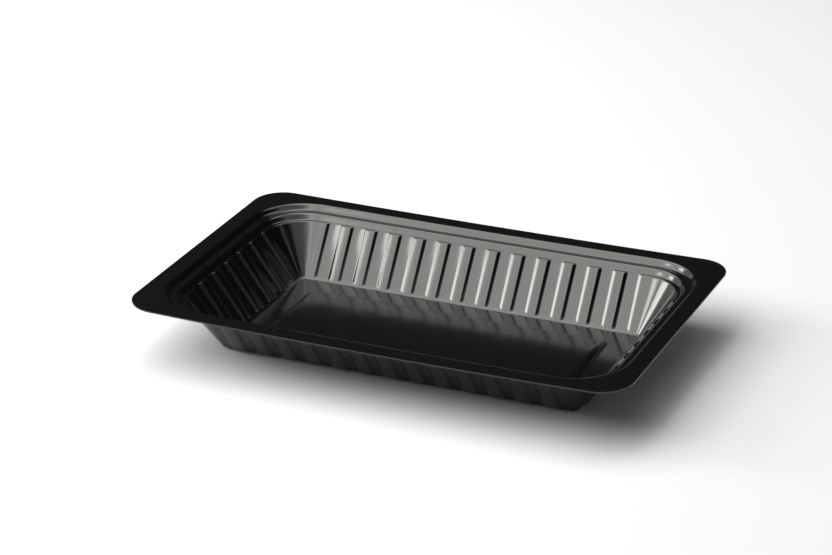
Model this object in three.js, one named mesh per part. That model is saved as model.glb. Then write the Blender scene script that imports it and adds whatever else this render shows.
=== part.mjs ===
// Snack tray: one shallow oblong tray, formed in one piece from black plastic sheet.
// A flat flange runs round the top. Inside it the sheet steps down twice, then falls in a
// sloping fluted wall to a low channel, and the middle of the floor stands a little higher.
// Millimetres, +Z up. The origin is in the middle of the tray, on the surface it rests on.
// X runs along the tray and Y across it.

import * as THREE from 'three';

// The rim and the sheet
const RIM_LENGTH = 185;
const RIM_WIDTH = 115;
const TRAY_HEIGHT = 22.5;
const SHEET_THICKNESS = 0.5;
const FLANGE_WIDTH = 6.3;

// The two steps under the flange
const STEP_DROP = 2.1;
const UPPER_LEDGE = 2.4;
const STEP_FILLET = 1.4;

// The sloping wall. The lower ledge is also how far the strips of wall between the flutes
// stand in from the flutes, so a flute runs on from the step above it with no break.
const LOWER_LEDGE = 1.1;
const LEDGE_FILLET = 0.6;
const WALL_DRAFT = THREE.MathUtils.degToRad(35.5);
const FOOT_FILLET = 1.5;

// The flutes
const FLUTE_PITCH = 9.8;
const FLUTE_WIDTH = 5.4;
const FLUTE_FLANK = 1.1;

// The floor
const CHANNEL_WIDTH = 8.6;
const PANEL_RISE = 1.2;
const PANEL_SLOPE = 1.4;
const PANEL_FILLET = 0.6;
const FOOT_MARGIN = 0.5;

// Corner radii seen from above
const RIM_CORNER = 11.5;
const WELL_CORNER = 20;
const WALL_CORNER = 15;
const FOOT_CORNER = 2.4;
const PANEL_CORNER = 3;

// Fineness of the curves
const CORNER_SEGMENTS = 8;
const STEP_SEGMENTS = 2;
const LEDGE_SEGMENTS = 1;
const FOOT_SEGMENTS = 2;

const BLACK_PLASTIC = 0x1b1b1a;
const PLASTIC_ROUGHNESS = 0.18;

const halfLength = RIM_LENGTH / 2;
const halfWidth = RIM_WIDTH / 2;
const draftTangent = Math.tan(WALL_DRAFT);

// Heights of the sheet's upper skin
const floorHeight = SHEET_THICKNESS;
const upperLedgeHeight = TRAY_HEIGHT - STEP_DROP;
const lowerLedgeHeight = upperLedgeHeight - STEP_DROP;
const wallHeight = lowerLedgeHeight - floorHeight;

// Distances in from the rim's edge, where the section would turn if it had no fillets
const stepRun = STEP_DROP * draftTangent;
const upperLedgeStart = FLANGE_WIDTH + stepRun;
const upperLedgeEnd = upperLedgeStart + UPPER_LEDGE;
const lowerLedgeStart = upperLedgeEnd + stepRun;
const wallTop = lowerLedgeStart + LOWER_LEDGE;
const wallFoot = wallTop + wallHeight * draftTangent;
const channelEnd = wallFoot + CHANNEL_WIDTH;
const panelEdge = channelEnd + PANEL_SLOPE;

// Turns one corner of the section into an arc. Each point carries the upward normal of the
// sheet, so that the lower skin can be set one thickness below it.
function filletPoints(before, here, after) {
  const place = new THREE.Vector2(here.inset, here.height);
  const incoming = place.clone().sub(new THREE.Vector2(before.inset, before.height)).normalize();
  const outgoing = new THREE.Vector2(after.inset, after.height).sub(place).normalize();
  const startAngle = incoming.angle();
  const turn = Math.atan2(incoming.cross(outgoing), incoming.dot(outgoing));
  const reach = here.fillet * Math.tan(Math.abs(turn) / 2);
  const side = Math.sign(turn);
  const leftOf = (angle) => new THREE.Vector2(-Math.sin(angle), Math.cos(angle));
  const start = place.clone().addScaledVector(incoming, -reach);
  const centre = start.clone().addScaledVector(leftOf(startAngle), side * here.fillet);
  const points = [];
  for (let i = 0; i <= here.segments; i += 1) {
    const normal = leftOf(startAngle + (turn * i) / here.segments);
    const point = centre.clone().addScaledVector(normal, -side * here.fillet);
    points.push({ inset: point.x, height: point.y, normal });
  }
  return points;
}

const UP = new THREE.Vector2(0, 1);
const slopeNormal = new THREE.Vector2(Math.cos(WALL_DRAFT), Math.sin(WALL_DRAFT));

const sectionCorners = [
  { inset: 0, height: TRAY_HEIGHT },
  { inset: FLANGE_WIDTH, height: TRAY_HEIGHT, fillet: STEP_FILLET, segments: STEP_SEGMENTS },
  { inset: upperLedgeStart, height: upperLedgeHeight, fillet: STEP_FILLET, segments: STEP_SEGMENTS },
  { inset: upperLedgeEnd, height: upperLedgeHeight, fillet: STEP_FILLET, segments: LEDGE_SEGMENTS },
  { inset: lowerLedgeStart, height: lowerLedgeHeight, fillet: LEDGE_FILLET, segments: LEDGE_SEGMENTS },
  { inset: wallTop, height: lowerLedgeHeight, fillet: LEDGE_FILLET, segments: LEDGE_SEGMENTS },
  { inset: wallFoot, height: floorHeight, fillet: FOOT_FILLET, segments: FOOT_SEGMENTS },
  { inset: channelEnd, height: floorHeight, fillet: PANEL_FILLET, segments: LEDGE_SEGMENTS },
  { inset: panelEdge, height: floorHeight + PANEL_RISE, fillet: PANEL_FILLET, segments: LEDGE_SEGMENTS },
  { inset: halfWidth, height: floorHeight + PANEL_RISE },
];

// The fillet points of every corner in the list above but its two ends
const [
  wellEdge,
  upperLedgeOuter,
  upperLedgeInner,
  lowerLedgeOuter,
  lowerLedgeInner,
  foot,
  panelFoot,
  panelTop,
] = sectionCorners
  .slice(1, -1)
  .map((here, i) => filletPoints(sectionCorners[i], here, sectionCorners[i + 2]));

const flat = (inset, height) => ({ inset, height, normal: UP });

// A fluted station also says where the sheet lies in the bottom of a flute. There the slope
// of the lower step runs straight on down, until the foot turns it into the floor.
function withFlute(point) {
  const slopeInset = upperLedgeEnd + (upperLedgeHeight - point.height) * draftTangent;
  const depth = THREE.MathUtils.clamp(point.inset - slopeInset, 0, LOWER_LEDGE);
  const onSlope = depth > 0 && depth < LOWER_LEDGE;
  const flute = { ...point, inset: point.inset - depth, normal: onSlope ? slopeNormal : point.normal };
  return { ...point, flute };
}

const ledgeMiddle = flat((upperLedgeStart + upperLedgeEnd) / 2, upperLedgeHeight);
const footEnd = foot[foot.length - 1].inset;
const footLine = flat(footEnd + FOOT_MARGIN, floorHeight);

// The stations of the upper skin, from the rim's edge to the edge of the raised floor.
// The first fluted station and the last are straight, to join the plain ones. Close to the
// flutes a plain station has one point beside each flute, which keeps the triangles short.
const stations = [
  flat(0, TRAY_HEIGHT),
  ...[...wellEdge, ...upperLedgeOuter].map((point) => ({ ...point, besideFlutes: true })),
  { ...ledgeMiddle, flute: ledgeMiddle },
  ...[...upperLedgeInner, ...lowerLedgeOuter, ...lowerLedgeInner, ...foot].map(withFlute),
  { ...footLine, flute: footLine },
  ...panelFoot,
  ...panelTop,
];

// Corner radius of the plan at a distance in from the rim's edge
const cornerTable = [
  [0, RIM_CORNER],
  [FLANGE_WIDTH, WELL_CORNER],
  [wallTop, WALL_CORNER],
  [wallFoot, FOOT_CORNER],
  [channelEnd, PANEL_CORNER],
];

function planRadius(inset) {
  const next = cornerTable.findIndex(([limit]) => limit >= inset);
  if (next < 0) return PANEL_CORNER;
  if (next === 0) return RIM_CORNER;
  const [fromInset, fromRadius] = cornerTable[next - 1];
  const [toInset, toRadius] = cornerTable[next];
  return THREE.MathUtils.mapLinear(inset, fromInset, toInset, fromRadius, toRadius);
}

// The flutes of one side, each as places along it from its middle. As many are set as fit
// in the straight stretch between the corners.
function flutePlaces(half) {
  const mouth = FLUTE_WIDTH + FLUTE_FLANK;
  const bottom = FLUTE_WIDTH - FLUTE_FLANK;
  const fluted = stations.filter((station) => station.flute);
  const straightHalves = fluted.map(({ inset }) => half - inset - planRadius(inset));
  const room = 2 * Math.min(...straightHalves) - mouth;
  const count = Math.max(0, Math.floor(room / FLUTE_PITCH) + 1);
  const places = [];
  for (let i = 0; i < count; i += 1) {
    const middle = (i - (count - 1) / 2) * FLUTE_PITCH;
    places.push({ along: middle - mouth / 2, inFlute: false });
    places.push({ along: middle - bottom / 2, inFlute: true });
    places.push({ along: middle, isMiddle: true });
    places.push({ along: middle + bottom / 2, inFlute: true });
    places.push({ along: middle + mouth / 2, inFlute: false });
  }
  return places;
}

// The four sides in turn, each with the corner that comes before it. The way round is
// anticlockwise seen from above, and each side is given by its outward direction.
const sides = [
  { outward: new THREE.Vector2(1, 0), half: halfLength, cornerSign: new THREE.Vector2(1, -1) },
  { outward: new THREE.Vector2(0, 1), half: halfWidth, cornerSign: new THREE.Vector2(1, 1) },
  { outward: new THREE.Vector2(-1, 0), half: halfLength, cornerSign: new THREE.Vector2(-1, 1) },
  { outward: new THREE.Vector2(0, -1), half: halfWidth, cornerSign: new THREE.Vector2(-1, -1) },
];
for (const side of sides) {
  side.along = new THREE.Vector2(-side.outward.y, side.outward.x);
  side.flutes = flutePlaces(side.outward.x !== 0 ? halfWidth : halfLength);
}

// Moves a point of the section from the upper skin to the lower one, when it is asked for
function onSkin(point, isLower) {
  const drop = isLower ? SHEET_THICKNESS : 0;
  return {
    inset: point.inset - drop * point.normal.x,
    height: point.height - drop * point.normal.y,
  };
}

// One closed ring of points round the tray. Every point has a key that grows along the way,
// so that a ring with flutes can be joined to one without.
function makeRing(station, isLower) {
  const plain = onSkin(station, isLower);
  const flute = station.flute && onSkin(station.flute, isLower);
  const radius = planRadius(station.inset) + station.inset - plain.inset;
  const centre = new THREE.Vector2(halfLength - plain.inset - radius, halfWidth - plain.inset - radius);
  const ring = [];
  const keysPerSide = CORNER_SEGMENTS + 1 + Math.max(...sides.map((side) => side.flutes.length));
  sides.forEach((side, sideIndex) => {
    const firstKey = sideIndex * keysPerSide;
    const middle = centre.clone().multiply(side.cornerSign);
    const startAngle = side.outward.angle() - Math.PI / 2;
    for (let i = 0; i <= CORNER_SEGMENTS; i += 1) {
      const angle = startAngle + ((Math.PI / 2) * i) / CORNER_SEGMENTS;
      const x = middle.x + radius * Math.cos(angle);
      const y = middle.y + radius * Math.sin(angle);
      ring.push({ key: firstKey + i, position: new THREE.Vector3(x, y, plain.height) });
    }
    side.flutes.forEach((place, i) => {
      const wanted = place.isMiddle ? station.besideFlutes : flute;
      if (!wanted) return;
      const level = place.inFlute ? flute : plain;
      const spot = side.outward.clone().multiplyScalar(side.half - level.inset);
      spot.addScaledVector(side.along, place.along);
      const position = new THREE.Vector3(spot.x, spot.y, level.height);
      ring.push({ key: firstKey + CORNER_SEGMENTS + 1 + i, position });
    });
  });
  return ring;
}

// Joins two rings with triangles, going round both in the order of their keys
function joinRings(first, second, triangles) {
  let i = 0;
  let j = 0;
  const keyAt = (ring, n) => (n < ring.length ? ring[n].key : Infinity);
  const at = (ring, n) => ring[n % ring.length].index;
  while (i < first.length || j < second.length) {
    const nextFirst = i < first.length ? keyAt(first, i + 1) : Infinity;
    const nextSecond = j < second.length ? keyAt(second, j + 1) : Infinity;
    const firstMoves = j >= second.length || (i < first.length && nextFirst <= nextSecond);
    if (firstMoves) {
      triangles.push(at(first, i), at(first, i + 1), at(second, j));
      i += 1;
    } else {
      triangles.push(at(first, i), at(second, j + 1), at(second, j));
      j += 1;
    }
  }
}

// Closes a flat ring with a fan about its middle
function capRing(ring, middleIndex, facesUp, triangles) {
  ring.forEach((point, i) => {
    const next = ring[(i + 1) % ring.length];
    if (facesUp) triangles.push(point.index, next.index, middleIndex);
    else triangles.push(next.index, point.index, middleIndex);
  });
}

// The whole sheet is one chain of rings: along the underside from the middle to the rim,
// up over the cut edge and back along the upper skin to the middle.
function trayGeometry() {
  const lowerRings = stations.map((station) => makeRing(station, true)).reverse();
  const upperRings = stations.map((station) => makeRing(station, false));
  const rings = [...lowerRings, ...upperRings];
  const positions = [];
  const triangles = [];
  const addVertex = (position) => {
    positions.push(position.x, position.y, position.z);
    return positions.length / 3 - 1;
  };
  for (const ring of rings) {
    for (const point of ring) point.index = addVertex(point.position);
  }
  for (let i = 0; i + 1 < rings.length; i += 1) joinRings(rings[i], rings[i + 1], triangles);
  const panelHeight = floorHeight + PANEL_RISE;
  const middleBelow = addVertex(new THREE.Vector3(0, 0, panelHeight - SHEET_THICKNESS));
  const middleAbove = addVertex(new THREE.Vector3(0, 0, panelHeight));
  capRing(rings[0], middleBelow, false, triangles);
  capRing(rings[rings.length - 1], middleAbove, true, triangles);

  const geometry = new THREE.BufferGeometry();
  geometry.setAttribute('position', new THREE.Float32BufferAttribute(positions, 3));
  geometry.setIndex(triangles);
  geometry.computeVertexNormals();
  return geometry;
}

const plastic = new THREE.MeshStandardMaterial({
  color: BLACK_PLASTIC,
  roughness: PLASTIC_ROUGHNESS,
  metalness: 0,
});
const tray = new THREE.Mesh(trayGeometry(), plastic);
tray.name = 'tray';

const snackTray = new THREE.Group();
snackTray.add(tray);

export default snackTray;
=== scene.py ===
"""Snack tray: one shallow oblong tray formed in glossy black plastic sheet.

The sheet is a chain of loops that follow the wall's section from the rim to the floor.
The scene is in metres, +Z up, with the origin in the middle of the tray on the surface it
rests on. The sizes below are written in millimetres where no comment says otherwise.
"""

import math

import bmesh
import bpy
from mathutils import Matrix, Vector


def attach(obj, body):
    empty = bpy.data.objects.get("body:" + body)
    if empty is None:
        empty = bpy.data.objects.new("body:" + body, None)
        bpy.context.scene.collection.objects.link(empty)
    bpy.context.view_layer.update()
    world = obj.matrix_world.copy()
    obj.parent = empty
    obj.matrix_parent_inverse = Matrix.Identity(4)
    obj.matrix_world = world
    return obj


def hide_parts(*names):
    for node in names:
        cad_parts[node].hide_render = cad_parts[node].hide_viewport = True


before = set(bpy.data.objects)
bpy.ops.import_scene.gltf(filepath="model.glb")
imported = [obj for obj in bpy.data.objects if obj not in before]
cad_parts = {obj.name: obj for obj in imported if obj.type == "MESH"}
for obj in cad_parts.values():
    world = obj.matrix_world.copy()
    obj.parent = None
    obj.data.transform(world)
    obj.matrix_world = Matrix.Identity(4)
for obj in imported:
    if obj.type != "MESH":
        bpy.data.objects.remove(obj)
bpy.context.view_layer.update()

MM = 0.001

# The photograph's width in pixels, and the camera that was fitted to it. The offsets say how
# far its line of sight lies right of the picture's middle and below it, in pixels
IMAGE_WIDTH = 832
CAMERA_AZIMUTH = math.radians(23.949)
CAMERA_ELEVATION = math.radians(24.189)
CAMERA_ROLL = math.radians(-0.643)
CAMERA_DISTANCE = 1028.7 * MM
FOCAL_PIXELS = 2934.8
SENSOR_WIDTH = 36
OFFSET_RIGHT = 15.293
OFFSET_DOWN = 6.714

# The rim and the sheet, in millimetres
RIM_LENGTH = 185
RIM_WIDTH = 115
TRAY_HEIGHT = 22.5
SHEET_THICKNESS = 0.5
FLANGE_WIDTH = 6.3

# The two steps and the sloping wall
STEP_DROP = 2.1
UPPER_LEDGE = 2.4
LOWER_LEDGE = 1.1
STEP_FILLET = 1.4
LEDGE_FILLET = 0.8
FOOT_FILLET = 1.5
DRAFT = math.tan(math.radians(35.5))

# The flutes
FLUTE_PITCH = 9.8
FLUTE_WIDTH = 5.4
FLUTE_DEPTH = 0.8
FLUTE_FLANK = 1.6
FLUTE_END = 1.2
FLUTES_LONG = 13
FLUTES_SHORT = 6

# The floor
CHANNEL_WIDTH = 8.6
PANEL_RISE = 1.2
PANEL_SLOPE = 1.4
PANEL_FOOT_FILLET = 0.6
PANEL_TOP_FILLET = 4

# Corner radii seen from above
RIM_CORNER = 11.5
FLANGE_CORNER = 20
WALL_TOP_CORNER = 15
WALL_FOOT_CORNER = 2.4
PANEL_CORNER = 3

# How far the thin rim hangs in the middle of its long sides
FRONT_SAG = 1.1
BACK_SAG = 0.6

# How finely each rounding is drawn
CORNER_SEGMENTS = 20
STEP_SEGMENTS = 5
LEDGE_SEGMENTS = 4
FOOT_SEGMENTS = 5
PANEL_FOOT_SEGMENTS = 3
PANEL_TOP_SEGMENTS = 6

# Where a flute's flank is drawn, as shares of the way across it
FLANK_SHARES = (0, 0.1, 0.22, 0.38, 0.62, 0.78, 0.9, 1)

# The flutes' places keep at least this far from the ends of a side's straight stretch
SIDE_MARGIN = 0.3

# A straight stretch of the section at least this long has a loop near each of its ends
SHORTEST_STRAIGHT = 0.8
END_MARGIN = 0.2

# The raised floor has loops at these distances in from its rounded edge
FLOOR_LOOPS = (0.3, 1)

# Vertices closer than this are one
MERGE_DISTANCE = 0.001

# Edges that turn more than this are shaded sharp
SHARP_ANGLE = math.radians(60)

# The formed sheet is faintly wavy, with about this many waves on this many millimetres. Their
# height is toned down by the strength
WAVES = 7
WAVE_SPAN = 100
WAVE_HEIGHT = 0.3
WAVE_STRENGTH = 0.25

# The table lies this far under the tray, so that the two never share a plane, and it reaches
# this far from the middle
TABLE_GAP = 0.1
TABLE_REACH = 3000

# The big soft box up on the left, in metres. The first strip beyond its right edge is brighter
# than the box, and the next ones fade out
BOX_SIZE = (1.1, 1.9)
BOX_PLACE = (-0.75, -0.4, 1)
BOX_BRIGHTNESS = 3.2
FADE_WIDTH = 0.1
FADE_START = -0.15
FADE_BRIGHTNESS = (4.8, 3, 1.5, 0.7, 0.3)

# The lamps are faintly warm, and the room round the tray gives a little grey light of its own
LAMP_COLOUR = (1, 0.99, 0.94)
ROOM_LIGHT = 0.15

half_length = RIM_LENGTH / 2
half_width = RIM_WIDTH / 2
floor_height = SHEET_THICKNESS
panel_height = floor_height + PANEL_RISE
upper_ledge_height = TRAY_HEIGHT - STEP_DROP
lower_ledge_height = upper_ledge_height - STEP_DROP
upper_ledge_start = FLANGE_WIDTH + STEP_DROP * DRAFT
upper_ledge_end = upper_ledge_start + UPPER_LEDGE
lower_ledge_start = upper_ledge_end + STEP_DROP * DRAFT
wall_top = lower_ledge_start + LOWER_LEDGE
wall_foot = wall_top + (lower_ledge_height - floor_height) * DRAFT
channel_end = wall_foot + CHANNEL_WIDTH
panel_edge = channel_end + PANEL_SLOPE

# The corner radius at distances in from the rim's edge, which are rounded to 0.1 mm
corner_radii = [
    (0, RIM_CORNER),
    (FLANGE_WIDTH, FLANGE_CORNER),
    (round(wall_top, 1), WALL_TOP_CORNER),
    (round(wall_foot, 1), WALL_FOOT_CORNER),
    (round(channel_end, 1), PANEL_CORNER),
]


def linear(hex_colour):
    """A colour written as sRGB hex, as linear values with alpha 1."""
    channels = [int(hex_colour[i : i + 2], 16) / 255 for i in (1, 3, 5)]
    values = [c / 12.92 if c <= 0.04045 else ((c + 0.055) / 1.055) ** 2.4 for c in channels]
    return (*values, 1)


def add_node(tree, kind, **inputs):
    """Adds a shader node and sets its inputs, to a value or to another node's output."""
    node = tree.nodes.new(kind)
    for name, value in inputs.items():
        socket = node.inputs[name.replace("_", " ")]
        if isinstance(value, bpy.types.NodeSocket):
            tree.links.new(value, socket)
        else:
            socket.default_value = value
    return node


def smooth(value):
    """Eases 0 to 1 with level ends."""
    value = min(1, max(0, value))
    return value * value * (3 - 2 * value)


def fillet(before, here, after, radius, segments):
    """Points of the arc that rounds one corner of the section."""
    here = Vector(here)
    incoming = (here - Vector(before)).normalized()
    outgoing = (Vector(after) - here).normalized()
    turn = math.atan2(incoming.x * outgoing.y - incoming.y * outgoing.x, incoming.dot(outgoing))
    reach = radius * math.tan(abs(turn) / 2)
    side = math.copysign(1, turn)
    start = here - incoming * reach
    centre = start + Vector((-incoming.y, incoming.x)) * side * radius
    points = []
    for i in range(segments + 1):
        points.append(centre + Matrix.Rotation(turn * i / segments, 2) @ (start - centre))
    return points


def straight(first, last):
    """Points close to both ends of a straight stretch, which keep its shading flat."""
    way = last - first
    if way.length < SHORTEST_STRAIGHT:
        return []
    step = way.normalized() * END_MARGIN
    return [first + step, last - step]


def section_points():
    """The upper skin's section as (distance in from the rim's edge, height)."""
    corners = [
        ((0, TRAY_HEIGHT), 0, 0),
        ((FLANGE_WIDTH, TRAY_HEIGHT), STEP_FILLET, STEP_SEGMENTS),
        ((upper_ledge_start, upper_ledge_height), STEP_FILLET, STEP_SEGMENTS),
        ((upper_ledge_end, upper_ledge_height), STEP_FILLET, STEP_SEGMENTS),
        ((lower_ledge_start, lower_ledge_height), LEDGE_FILLET, LEDGE_SEGMENTS),
        ((wall_top, lower_ledge_height), LEDGE_FILLET, LEDGE_SEGMENTS),
        ((wall_foot, floor_height), FOOT_FILLET, FOOT_SEGMENTS),
        ((channel_end, floor_height), PANEL_FOOT_FILLET, PANEL_FOOT_SEGMENTS),
        ((panel_edge, panel_height), PANEL_TOP_FILLET, PANEL_TOP_SEGMENTS),
        ((half_width, panel_height), 0, 0),
    ]
    points = [Vector(corners[0][0])]
    for before, here, after in zip(corners, corners[1:], corners[2:]):
        arc = fillet(before[0], here[0], after[0], here[1], here[2])
        way = straight(points[-1], arc[0])
        if here[0] == (wall_foot, floor_height):
            way.append(Vector((wall_foot - FLUTE_END * DRAFT, floor_height + FLUTE_END)))
        points += sorted(way, key=lambda point: point.x) + arc
    flat = points[-1]
    return points + [flat + Vector((inward, 0)) for inward in FLOOR_LOOPS]


def plan_radius(inset):
    """Corner radius of the plan at a distance in from the rim's edge."""
    for (start, first), (end, last) in zip(corner_radii, corner_radii[1:]):
        if inset <= end:
            return first + (last - first) * (inset - start) / (end - start)
    return PANEL_CORNER


def flute_depth(point):
    """How far a flute lies outside the strip of wall next to it, at a point of the section.

    The bottom of a flute runs down beside the slope of the lower step, and only its last
    bit is rounded off into the floor.
    """
    if point.x > wall_foot + FOOT_FILLET:
        return 0
    slope = upper_ledge_end + (upper_ledge_height - point.y) * DRAFT
    behind = min(LOWER_LEDGE, max(0, point.x - slope)) * FLUTE_DEPTH / LOWER_LEDGE
    return behind * smooth((point.y - floor_height) / FLUTE_END)


def flute_steps():
    """The places across one flute, from its middle, each with its share of the depth."""
    edge = FLUTE_WIDTH / 2
    steps = []
    for side in (-1, 1):
        row = [(side * (edge + FLUTE_FLANK * (0.5 - s)), smooth(s)) for s in FLANK_SHARES]
        steps += row if side < 0 else row[::-1]
    steps.insert(len(steps) // 2, (0, 1))
    return steps


def side_places(count, half_side):
    """The places along one side, from its middle, each with its share of the depth.

    On the floor the straight stretch is shorter than the row of flutes. The flutes have
    ended there, so the places draw together to stay on the stretch.
    """
    places = []
    for i in range(count):
        middle = (i - (count - 1) / 2) * FLUTE_PITCH
        places += [(middle + across, share) for across, share in flute_steps()]
    squeeze = min(1, (half_side - SIDE_MARGIN) / places[-1][0])
    return [(place * squeeze, share) for place, share in places]


def sag(place, height):
    """How far the sheet hangs at a place. The corners and the foot of the wall hold it up."""
    depth = FRONT_SAG if place.y < 0 else BACK_SAG
    along = 1 - (place.x / half_length) ** 2
    return depth * along * (place.y / half_width) ** 2 * height / TRAY_HEIGHT


def loop_points(point):
    """One closed loop of the upper skin, anticlockwise seen from above."""
    radius = plan_radius(point.x)
    depth = flute_depth(point)
    reach = Vector((half_length - point.x, half_width - point.x))
    loop = []
    for turn in range(4):
        angle = turn * math.pi / 2
        outward = Vector((round(math.cos(angle)), round(math.sin(angle))))
        along = Vector((-outward.y, outward.x))
        is_end = turn % 2 == 0
        distance = reach.x if is_end else reach.y
        half_side = (reach.y if is_end else reach.x) - radius
        count = FLUTES_SHORT if is_end else FLUTES_LONG
        for i in range(CORNER_SEGMENTS):
            bend = angle - math.pi / 2 * (1 - i / CORNER_SEGMENTS)
            middle = outward * (distance - radius) - along * half_side
            loop.append(middle + radius * Vector((math.cos(bend), math.sin(bend))))
        loop.append(outward * distance - along * half_side)
        for place, share in side_places(count, half_side):
            loop.append(outward * (distance + depth * share) + along * place)
    return [Vector((p.x, p.y, point.y - sag(p, point.y))) * MM for p in loop]


def formed_sheet():
    """The upper skin of the tray as a bmesh, open at the rim."""
    sheet = bmesh.new()
    before = None
    for point in section_points():
        loop = [sheet.verts.new(place) for place in loop_points(point)]
        if before:
            for i in range(len(loop)):
                j = (i + 1) % len(loop)
                sheet.faces.new((before[i], before[j], loop[j], loop[i]))
        before = loop
    sheet.faces.new(before)
    bmesh.ops.remove_doubles(sheet, verts=sheet.verts, dist=MERGE_DISTANCE * MM)
    bmesh.ops.recalc_face_normals(sheet, faces=sheet.faces)
    if max(sheet.faces, key=lambda face: face.calc_area()).normal.z < 0:
        bmesh.ops.reverse_faces(sheet, faces=sheet.faces)
    return sheet


def black_plastic():
    """Black polystyrene sheet, thermoformed. The eye sees a gloss with slightly soft edges."""
    material = bpy.data.materials.new("black_plastic")
    material.use_nodes = True
    tree = material.node_tree
    shader = tree.nodes["Principled BSDF"]
    shader.inputs["Base Color"].default_value = linear("#090909")
    shader.inputs["IOR"].default_value = 1.59
    shader.inputs["Roughness"].default_value = 0.14
    # Forming leaves the sheet faintly wavy, about 14 mm from wave to wave, so reflections waver
    place = add_node(tree, "ShaderNodeTexCoord").outputs["Object"]
    scale = WAVES / (WAVE_SPAN * MM)
    wave = add_node(tree, "ShaderNodeTexNoise", Vector=place, Scale=scale, Detail=2.0)
    depth = WAVE_HEIGHT * MM
    height = wave.outputs["Fac"]
    bump = add_node(tree, "ShaderNodeBump", Strength=WAVE_STRENGTH, Distance=depth, Height=height)
    tree.links.new(bump.outputs["Normal"], shader.inputs["Normal"])
    return material


def make_tray():
    """The whole tray, standing for the CAD node."""
    sheet = formed_sheet()
    mesh = bpy.data.meshes.new("formed_tray")
    sheet.to_mesh(mesh)
    sheet.free()
    mesh.polygons.foreach_set("use_smooth", [True] * len(mesh.polygons))
    tray = bpy.data.objects.new("formed_tray", mesh)
    bpy.context.scene.collection.objects.link(tray)
    mesh.materials.append(black_plastic())
    thickness = tray.modifiers.new("sheet_thickness", "SOLIDIFY")
    thickness.thickness = SHEET_THICKNESS * MM
    thickness.offset = -1
    thickness.use_even_offset = True
    thickness.use_quality_normals = True
    # The cut edge of the rim is sharp, and the rest of the sheet is smooth
    whole = tray.evaluated_get(bpy.context.evaluated_depsgraph_get())
    tray.data = bpy.data.meshes.new_from_object(whole)
    tray.modifiers.clear()
    tray.data.set_sharp_from_angle(angle=SHARP_ANGLE)
    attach(tray, "root")
    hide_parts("tray")


def seen_directly(tree):
    """1 for rays from the camera and rays that gloss or glass sends on, and else 0."""
    path = add_node(tree, "ShaderNodeLightPath")
    first = add_node(tree, "ShaderNodeMath")
    first.operation = "MAXIMUM"
    tree.links.new(path.outputs["Is Camera Ray"], first.inputs[0])
    tree.links.new(path.outputs["Is Glossy Ray"], first.inputs[1])
    both = add_node(tree, "ShaderNodeMath")
    both.operation = "MAXIMUM"
    tree.links.new(first.outputs[0], both.inputs[0])
    tree.links.new(path.outputs["Is Transmission Ray"], both.inputs[1])
    return both.outputs[0]


def white_floor():
    """A pale table that takes the tray's shadow."""
    material = bpy.data.materials.new("white_table")
    material.use_nodes = True
    shader = material.node_tree.nodes["Principled BSDF"]
    shader.inputs["Base Color"].default_value = linear("#dbdce2")
    shader.inputs["Roughness"].default_value = 0.9
    mesh = bpy.data.meshes.new("table")
    board = bmesh.new()
    bmesh.ops.create_grid(board, x_segments=1, y_segments=1, size=TABLE_REACH * MM)
    bmesh.ops.translate(board, verts=board.verts, vec=(0, 0, -TABLE_GAP * MM))
    board.to_mesh(mesh)
    board.free()
    mesh.materials.append(material)
    table = bpy.data.objects.new("table", mesh)
    bpy.context.scene.collection.objects.link(table)


def dark_card(name, middle, size, azimuth):
    """A black card out of the picture, which the gloss reflects. Its sizes are in metres."""
    material = bpy.data.materials.new(name)
    material.use_nodes = True
    shader = material.node_tree.nodes["Principled BSDF"]
    shader.inputs["Base Color"].default_value = linear("#060606")
    shader.inputs["Roughness"].default_value = 1
    mesh = bpy.data.meshes.new(name)
    card = bmesh.new()
    # One metre square, which the scale below turns to the card's size
    bmesh.ops.create_grid(card, x_segments=1, y_segments=1, size=0.5)
    card.to_mesh(mesh)
    card.free()
    mesh.materials.append(material)
    thing = bpy.data.objects.new(name, mesh)
    thing.scale = (size[0], size[1], 1)
    thing.rotation_euler = (math.pi / 2, 0, azimuth)
    thing.location = middle
    thing.visible_camera = False
    thing.visible_shadow = False
    thing.visible_diffuse = False
    bpy.context.scene.collection.objects.link(thing)


def soft_box(name, middle, size, brightness, faces_down=False):
    """A soft rectangular lamp, facing the tray or straight down. White has a brightness of 1."""
    lamp = bpy.data.lights.new(name, "AREA")
    lamp.shape = "RECTANGLE"
    lamp.size, lamp.size_y = size
    lamp.energy = brightness * math.pi * size[0] * size[1]
    lamp.color = LAMP_COLOUR
    thing = bpy.data.objects.new(name, lamp)
    thing.location = middle
    if not faces_down:
        thing.rotation_euler = Vector(middle).to_track_quat("Z", "Y").to_euler()
    bpy.context.scene.collection.objects.link(thing)


def around(azimuth, elevation, distance):
    """A place seen from the tray at these degrees. Azimuth 0 is in front and 90 to the right."""
    turn, rise = math.radians(azimuth), math.radians(elevation)
    level = distance * math.cos(rise)
    return Vector((math.sin(turn) * level, -math.cos(turn) * level, math.sin(rise) * distance))


def light_overhead():
    """The big soft box, above the tray and to its left, and the strips beyond its right edge."""
    soft_box("overhead_box", BOX_PLACE, BOX_SIZE, BOX_BRIGHTNESS, faces_down=True)
    for i, brightness in enumerate(FADE_BRIGHTNESS):
        place = (FADE_START + FADE_WIDTH * i, BOX_PLACE[1], BOX_PLACE[2])
        soft_box(f"overhead_edge_{i}", place, (FADE_WIDTH, BOX_SIZE[1]), brightness, faces_down=True)


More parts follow.
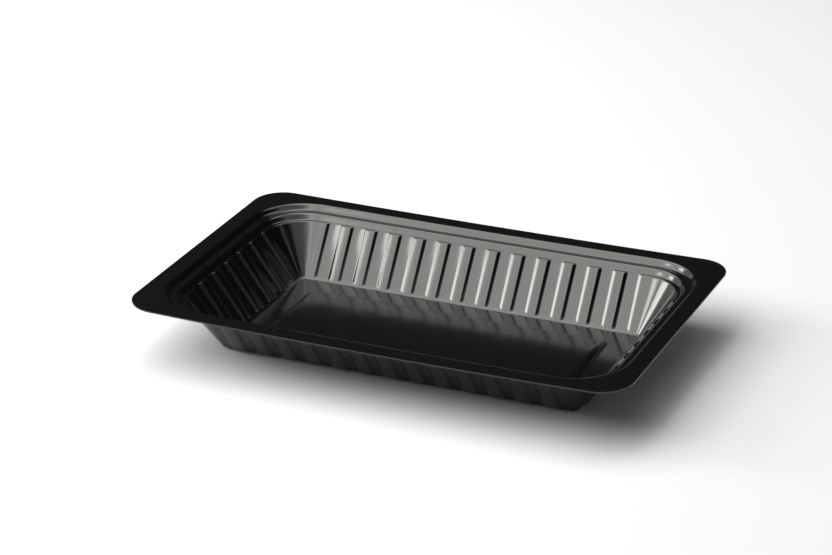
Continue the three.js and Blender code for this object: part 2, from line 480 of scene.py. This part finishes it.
def light_sides():
    """Lamps and dark cards round the tray, with places and sizes in metres.

    The flanks of the back wall's flutes show the left lamps on one side and the dark cards on
    the other, and the left wall's flutes show the glow on the right.
    """
    soft_box("right_glow", around(100, 34, 0.95), (0.22, 0.26), 0.55)
    soft_box("overhead_back", (0.25, 0.45, 1), (0.5, 0.4), 2, faces_down=True)
    soft_box("front_left_strip", around(-47, 36, 1.1), (0.22, 0.34), 8)
    soft_box("left_strip", around(-79, 25, 1.1), (0.4, 0.36), 12)
    dark_card("back_card", (0, 0.75, 0.5), (2.6, 1), 0)
    dark_card("right_card", (0.85, 0.1, 0.5), (1.7, 1), math.pi / 2)
    dark_card("front_right_card", (0.64, -0.64, 0.5), (1.5, 1), math.pi / 4)


def light_world():
    """White behind the tray, and a dim grey all round it for its own light."""
    world = bpy.data.worlds.new("white_studio")
    world.use_nodes = True
    tree = world.node_tree
    strength = add_node(tree, "ShaderNodeMapRange", Value=seen_directly(tree))
    strength.inputs["To Min"].default_value = ROOM_LIGHT
    background = tree.nodes["Background"]
    background.inputs["Color"].default_value = (1, 1, 1, 1)
    tree.links.new(strength.outputs["Result"], background.inputs["Strength"])
    bpy.context.scene.world = world


def set_camera():
    """The camera of the photograph: it looks down on the tray from the front right."""
    sin_turn, cos_turn = math.sin(CAMERA_AZIMUTH), math.cos(CAMERA_AZIMUTH)
    sin_rise, cos_rise = math.sin(CAMERA_ELEVATION), math.cos(CAMERA_ELEVATION)
    back = Vector((sin_turn * cos_rise, -cos_turn * cos_rise, sin_rise))
    right = Vector((cos_turn, sin_turn, 0))
    up = back.cross(right)
    level = Matrix((right, up, back)).transposed()
    data = bpy.data.cameras.new("photograph")
    data.sensor_width = SENSOR_WIDTH
    data.lens = FOCAL_PIXELS * SENSOR_WIDTH / IMAGE_WIDTH
    data.shift_x = -OFFSET_RIGHT / IMAGE_WIDTH
    data.shift_y = OFFSET_DOWN / IMAGE_WIDTH
    camera = bpy.data.objects.new("photograph", data)
    place = Vector((0, 0, TRAY_HEIGHT * MM)) + back * CAMERA_DISTANCE
    turned = level @ Matrix.Rotation(CAMERA_ROLL, 3, "Z")
    camera.matrix_world = Matrix.Translation(place) @ turned.to_4x4()
    bpy.context.scene.collection.objects.link(camera)
    bpy.context.scene.camera = camera


make_tray()
white_floor()
light_world()
light_overhead()
light_sides()
set_camera()
bpy.context.scene.view_settings.view_transform = "Standard"
